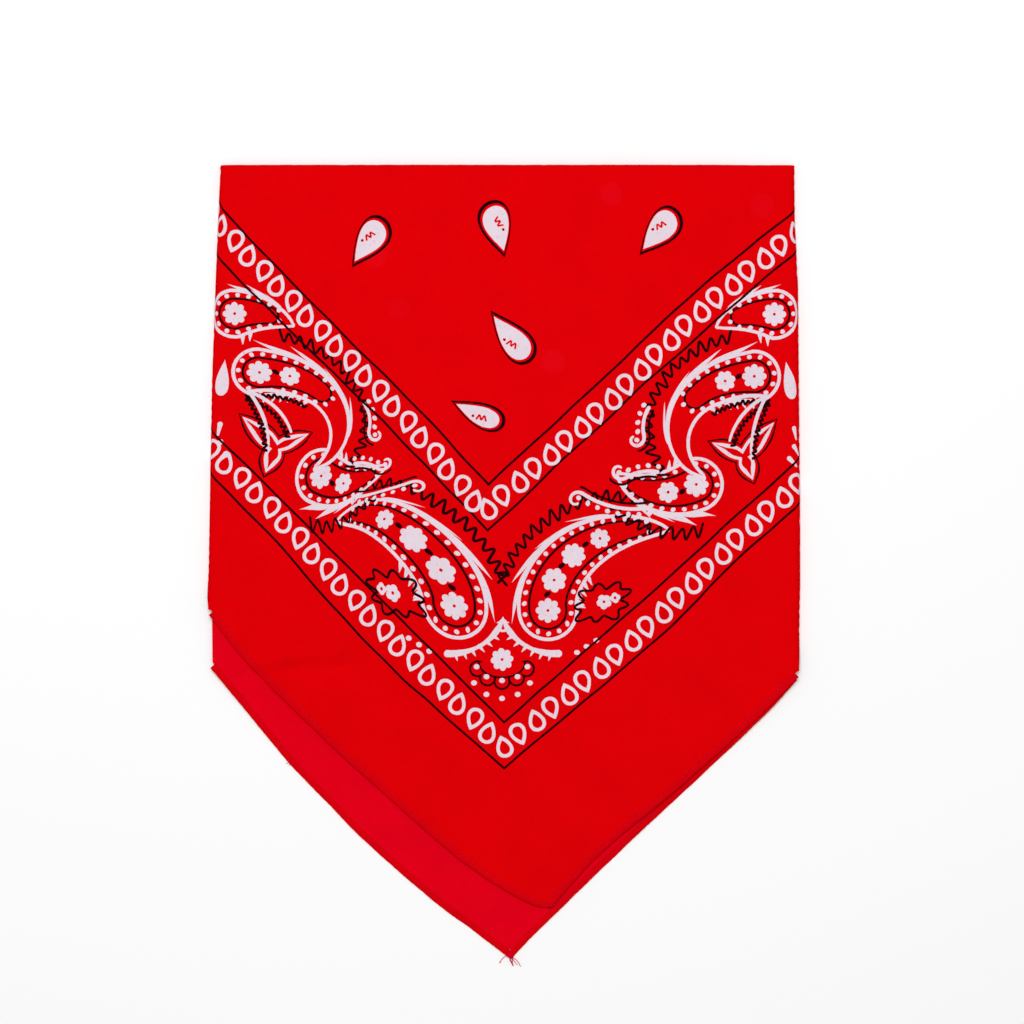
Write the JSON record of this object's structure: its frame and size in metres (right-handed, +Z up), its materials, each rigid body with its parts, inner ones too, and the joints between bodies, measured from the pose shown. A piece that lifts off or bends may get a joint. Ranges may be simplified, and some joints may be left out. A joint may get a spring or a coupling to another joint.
{
  "type": "bandana",
  "caption": "Square cotton bandana with a white and black paisley print on red, folded corner to corner with both side corners turned under, lying flat.",
  "frame": {"origin": "on the surface the bandana lies on, under the middle of its folded outline", "axes": "+X across the folded bandana, +Y from its point up to the top fold, +Z up, away from the surface"},
  "size_m": [0.2968, 0.3976, 0.0073],
  "materials": {
    "printed_cotton": "matt plain-weave cotton, printed",
    "wrong_side_cotton": "matt plain-weave cotton, unprinted wrong side",
    "hem_cotton": "matt plain-weave cotton, rolled and stitched"
  },
  "bodies": {
    "root": {"front_layer": "printed_cotton", "back_layer": "wrong_side_cotton", "left_flap": "printed_cotton", "right_flap": "printed_cotton", "front_hem_left": "hem_cotton", "front_hem_right": "hem_cotton", "back_hem_left": "hem_cotton", "back_hem_right": "hem_cotton", "left_flap_hem": "hem_cotton", "right_flap_hem": "hem_cotton"}
  },
  "joints": []
}
